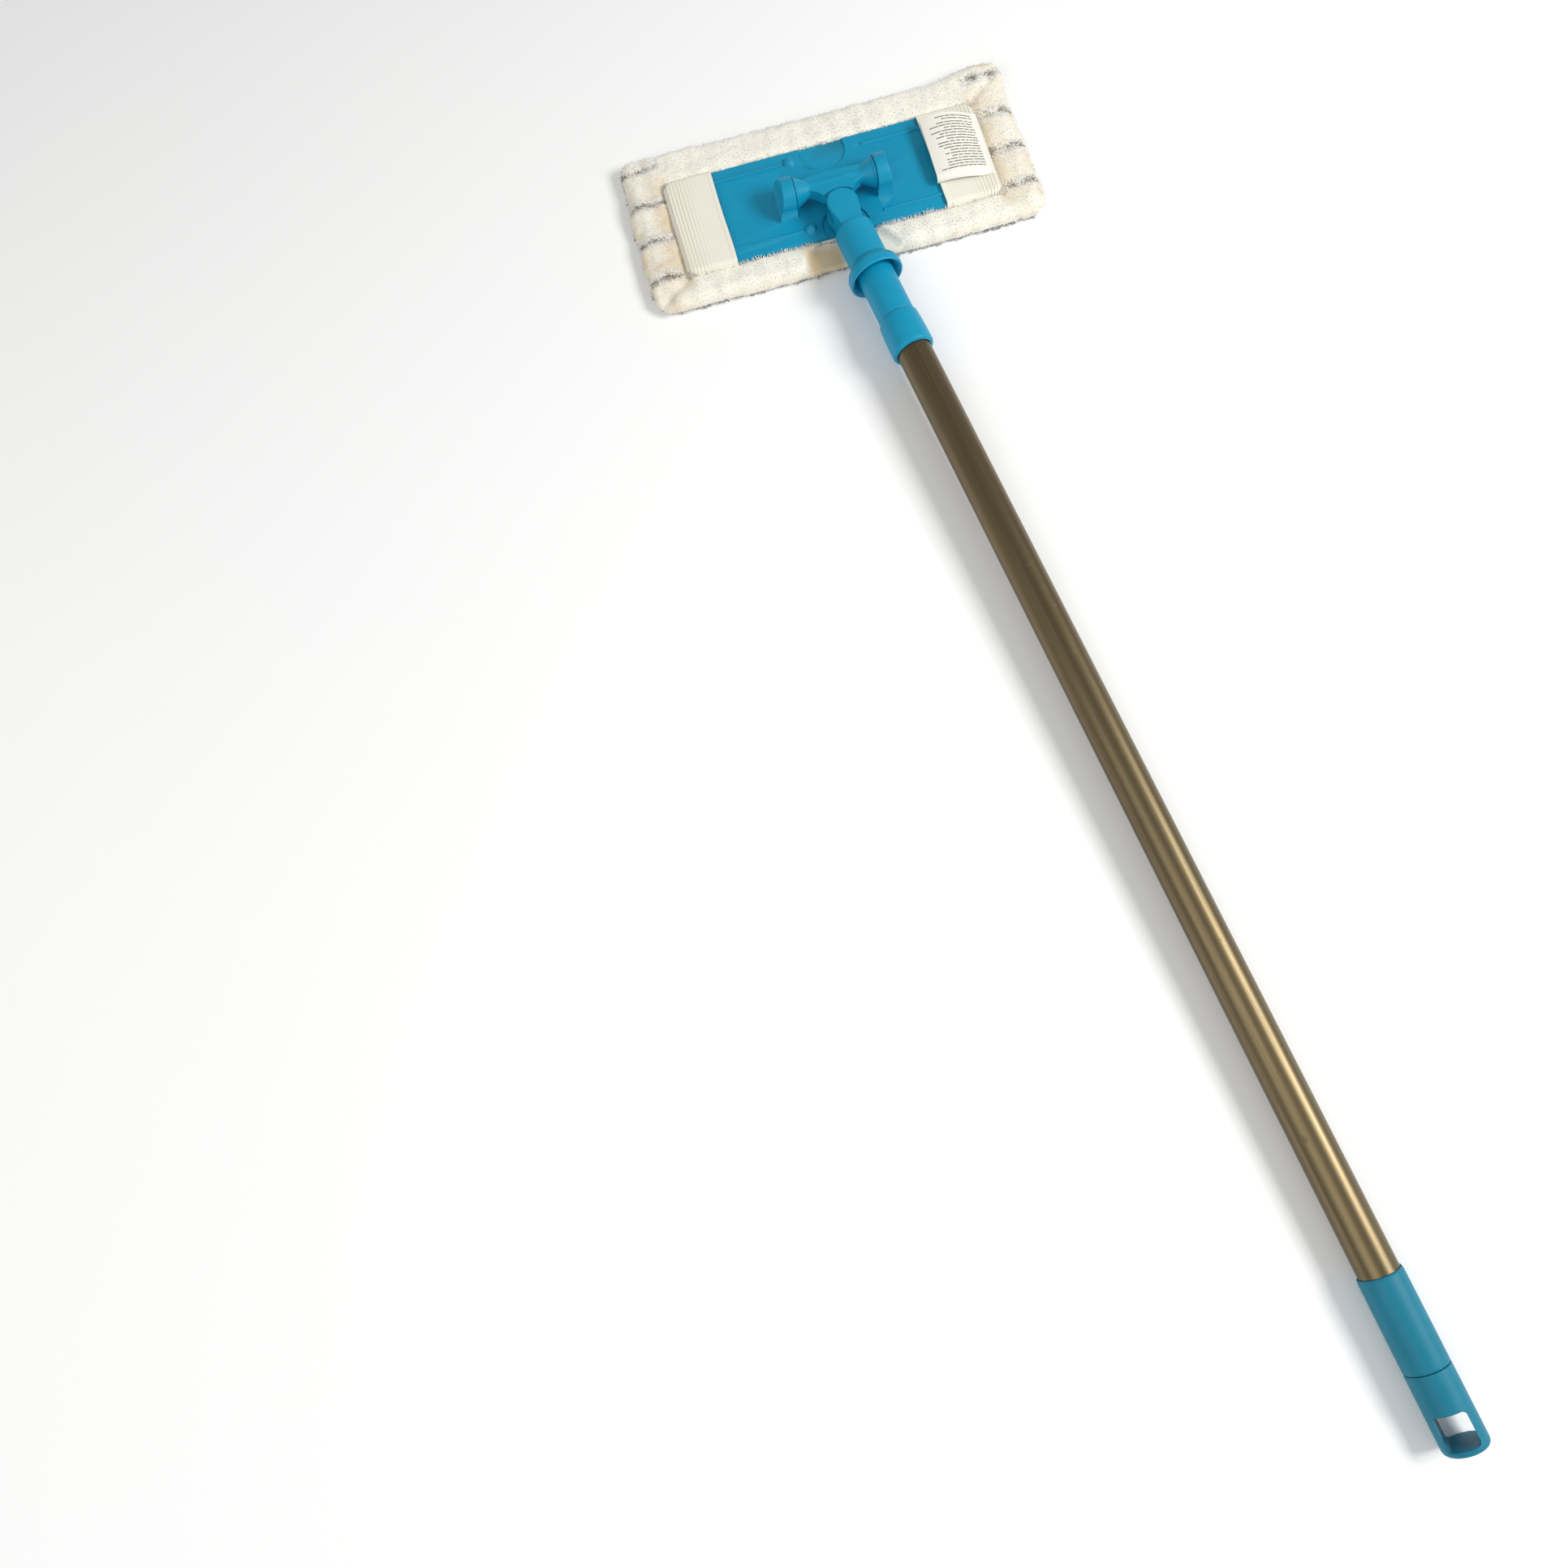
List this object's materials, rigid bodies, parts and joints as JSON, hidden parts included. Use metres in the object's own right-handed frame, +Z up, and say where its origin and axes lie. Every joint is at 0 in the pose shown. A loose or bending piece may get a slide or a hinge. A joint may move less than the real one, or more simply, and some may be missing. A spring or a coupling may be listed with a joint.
{
  "type": "flat mop",
  "caption": "Flat mop: washable plush pad with elastic pockets on a moulded plate, a two-axis joint and a twist-lock telescopic steel handle with a hanging hole.",
  "frame": {"origin": "centre of the pad's wiping face, on the floor", "axes": "+X along the pad, the handle lies towards -Y, +Z up out of the plate"},
  "size_m": [0.307, 0.9938, 0.044],
  "materials": {
    "plush": "deep microfibre plush, cream with thin grey stripes",
    "backing_cloth": "plain woven cloth",
    "elastic_cloth": "ribbed elastic webbing",
    "label_cloth": "smooth satin ribbon",
    "blue_plastic": "moulded, fine grain, satin",
    "tube_steel": "satin, warm grey-brown lacquer",
    "lock_plastic": "moulded, natural white",
    "screw_zinc": "zinc plated"
  },
  "bodies": {
    "head": {"pad_face": "plush", "pad_hem": "plush", "pad_lining": "backing_cloth", "pad_backing": "backing_cloth", "pocket_left": "elastic_cloth", "pocket_right": "elastic_cloth", "care_label": "label_cloth", "base_plate": "blue_plastic"},
    "yoke_body": {"yoke": "blue_plastic"},
    "lower_handle": {"fork_socket": "blue_plastic", "swivel_pin": "blue_plastic", "tube_ferrule": "blue_plastic", "inner_tube": "tube_steel", "lock_plug": "lock_plastic", "lock_screw": "screw_zinc"},
    "lock_ring": {"expander_ring": "lock_plastic"},
    "upper_handle": {"outer_tube": "tube_steel", "guide_collar": "blue_plastic", "grip_sleeve": "blue_plastic", "hang_cap": "blue_plastic"}
  },
  "joints": [
    {"name": "pitch", "type": "hinge", "parent": "head", "child": "yoke_body", "pos_m": [0, -0.0108, 0.0248], "axis": [-1, 0, 0], "range_deg": [0, 174]},
    {"name": "swivel", "type": "hinge", "parent": "yoke_body", "child": "lower_handle", "pos_m": [0, -0.0348, 0.02451], "axis": [0, -0.0121, 0.9999], "range_deg": [-41, 27]},
    {"name": "twist_lock", "type": "hinge", "parent": "lower_handle", "child": "lock_ring", "pos_m": [0.09433, -0.80297, 0.0152], "axis": [0.1219, -0.9925, -0.012], "range_deg": [0, 180]},
    {"name": "extension", "type": "slide", "parent": "lock_ring", "child": "upper_handle", "axis": [0.1219, -0.9925, -0.012], "range_m": [0, 0.45]}
  ]
}
